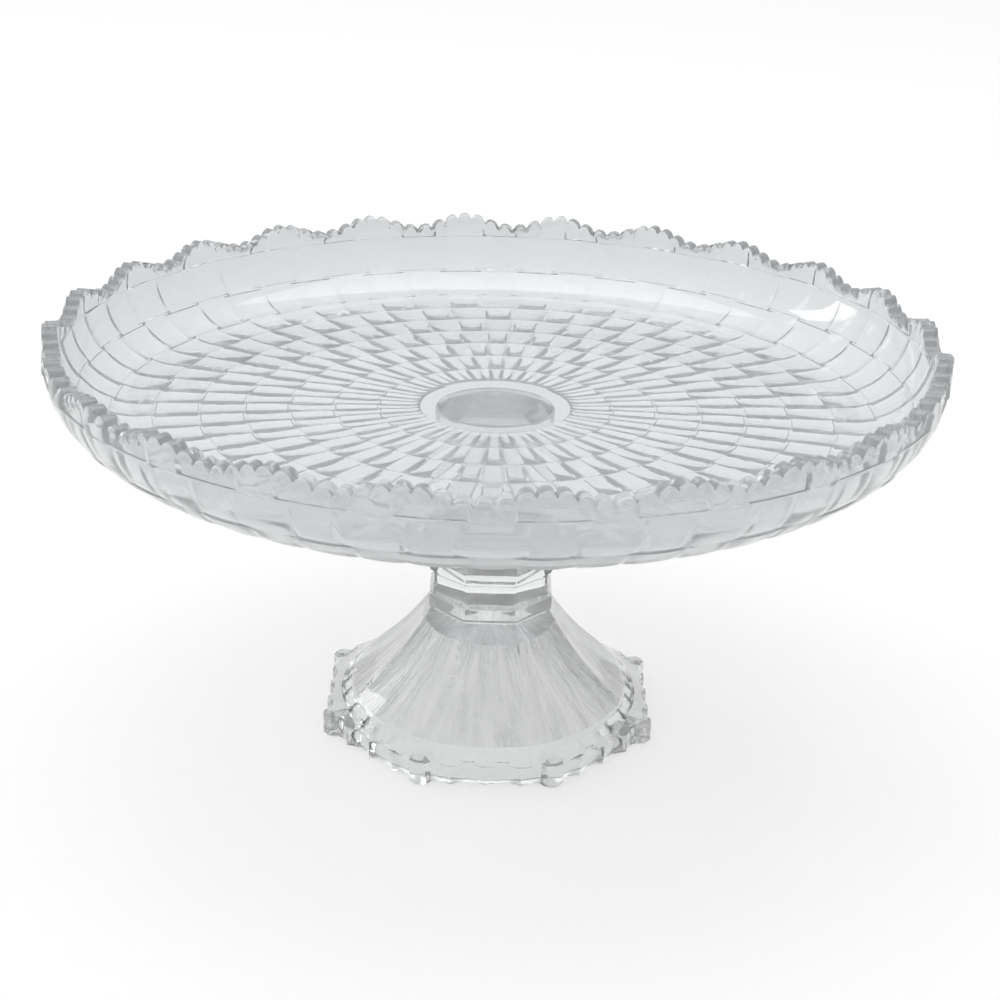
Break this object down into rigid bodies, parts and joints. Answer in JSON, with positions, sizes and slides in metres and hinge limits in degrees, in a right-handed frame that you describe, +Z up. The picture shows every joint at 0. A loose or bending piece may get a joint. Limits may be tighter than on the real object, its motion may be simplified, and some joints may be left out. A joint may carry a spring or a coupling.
{
  "type": "cake stand",
  "caption": "Footed clear pressed glass cake stand: a round plate with a shallow upturned, lobed rim on an eight-sided flared hollow foot.",
  "frame": {"origin": "centre of the face that the foot rests on", "axes": "+Z up through the middle of the foot and plate, -Y towards the middle of one flat side of the eight-sided foot, +X to the right seen from that side"},
  "size_m": [0.3, 0.3, 0.145],
  "materials": {
    "plate_glass": "clear pressed glass, fire polished",
    "foot_glass": "clear pressed glass, fire polished, lightly drawn inside",
    "clear_adhesive": "clear cured adhesive"
  },
  "bodies": {
    "root": {"plate": "plate_glass", "foot": "foot_glass", "bond_film": "clear_adhesive"}
  },
  "joints": []
}
